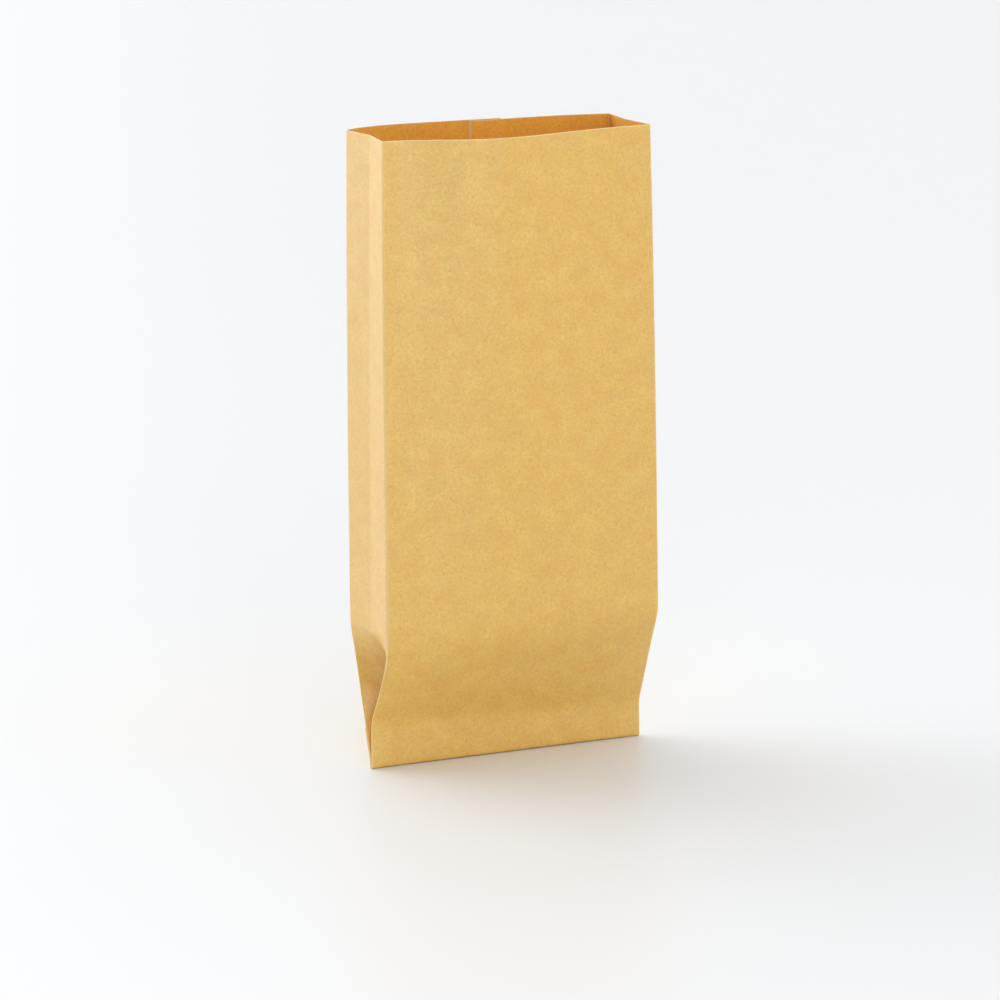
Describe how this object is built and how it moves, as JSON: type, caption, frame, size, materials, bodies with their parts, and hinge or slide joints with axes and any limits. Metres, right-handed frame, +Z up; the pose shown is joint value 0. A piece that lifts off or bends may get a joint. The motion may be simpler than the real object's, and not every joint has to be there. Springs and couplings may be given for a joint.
{
  "type": "kraft paper bag",
  "caption": "Tall side-gusseted brown kraft paper bag, empty and open at the top, standing on its folded foot.",
  "frame": {"origin": "on the floor, under the middle of the bag's box", "axes": "+Z up from the folded foot to the open mouth, +X along the front panel to the right, -Y out of the front panel"},
  "size_m": [0.1408, 0.0718, 0.3],
  "materials": {
    "kraft_paper": "unprinted brown kraft paper, machine glazed, with fine fibre flecks"
  },
  "bodies": {
    "root": {"paper_bag": "kraft_paper"}
  },
  "joints": []
}
